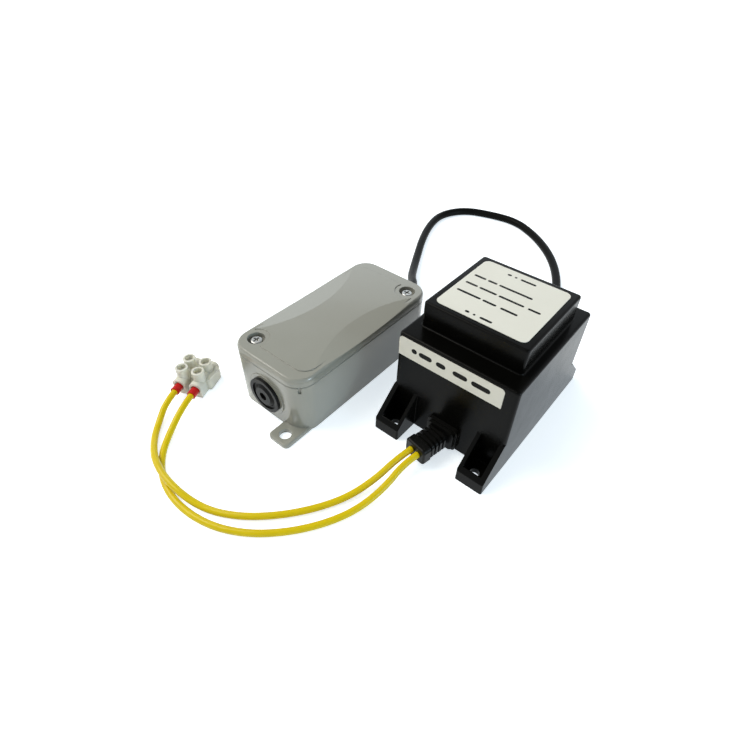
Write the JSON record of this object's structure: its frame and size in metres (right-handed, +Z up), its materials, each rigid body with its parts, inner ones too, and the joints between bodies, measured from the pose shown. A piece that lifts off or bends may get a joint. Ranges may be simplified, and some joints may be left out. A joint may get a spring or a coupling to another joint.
{
  "type": "low voltage transformer",
  "caption": "Potted low voltage transformer with gusseted fixing feet, leads ending in a screw connector, and a cable loop to a small screwed junction box.",
  "frame": {"origin": "centre of the transformer's four fixing holes, on the plane of its base", "axes": "+X to the right along the front of the transformer, +Y from its front with the yellow leads to its back, +Z up"},
  "size_m": [0.1644, 0.3307, 0.0662],
  "materials": {
    "case_black": "satin, fine texture",
    "resin": "cast",
    "core_steel": "laminated",
    "bobbin_plastic": "moulded",
    "copper_wire": "enamelled",
    "fuse_metal": "plated",
    "label_white": "satin film",
    "relief_black": "moulded",
    "lead_yellow": "smooth",
    "ferrule_red": "smooth",
    "tin": "tinned",
    "connector_white": "translucent",
    "insert_brass": "turned",
    "screw_zinc": "zinc plated",
    "box_grey": "semi-gloss",
    "grommet_black": "matt",
    "gasket_black": "matt",
    "cable_black": "satin",
    "core_brown": "smooth",
    "core_blue": "smooth"
  },
  "bodies": {
    "root": {"transformer_case": "case_black", "potting_resin": "resin", "core_e_stack": "core_steel", "core_i_stack": "core_steel", "coil_bobbin": "bobbin_plastic", "primary_winding": "copper_wire", "secondary_winding": "copper_wire", "thermal_fuse": "fuse_metal", "primary_tails": "copper_wire", "secondary_tails": "copper_wire", "top_label": "label_white", "front_label": "label_white", "output_strain_relief": "relief_black", "input_strain_relief": "relief_black", "left_yellow_lead": "lead_yellow", "right_yellow_lead": "lead_yellow", "ferrule_collars": "ferrule_red", "ferrule_pins": "tin", "lead_connector_body": "connector_white", "lead_connector_inserts": "insert_brass", "lead_connector_screws": "screw_zinc", "box_base": "box_grey", "box_lid": "box_grey", "lid_gasket": "gasket_black", "lid_screws": "screw_zinc", "front_grommet": "grommet_black", "rear_grommet": "grommet_black", "mains_cable": "cable_black", "cable_tail": "cable_black", "brown_conductor": "core_brown", "blue_conductor": "core_blue", "box_connector_body": "connector_white", "box_connector_inserts": "insert_brass", "box_connector_screws": "screw_zinc"}
  },
  "joints": []
}
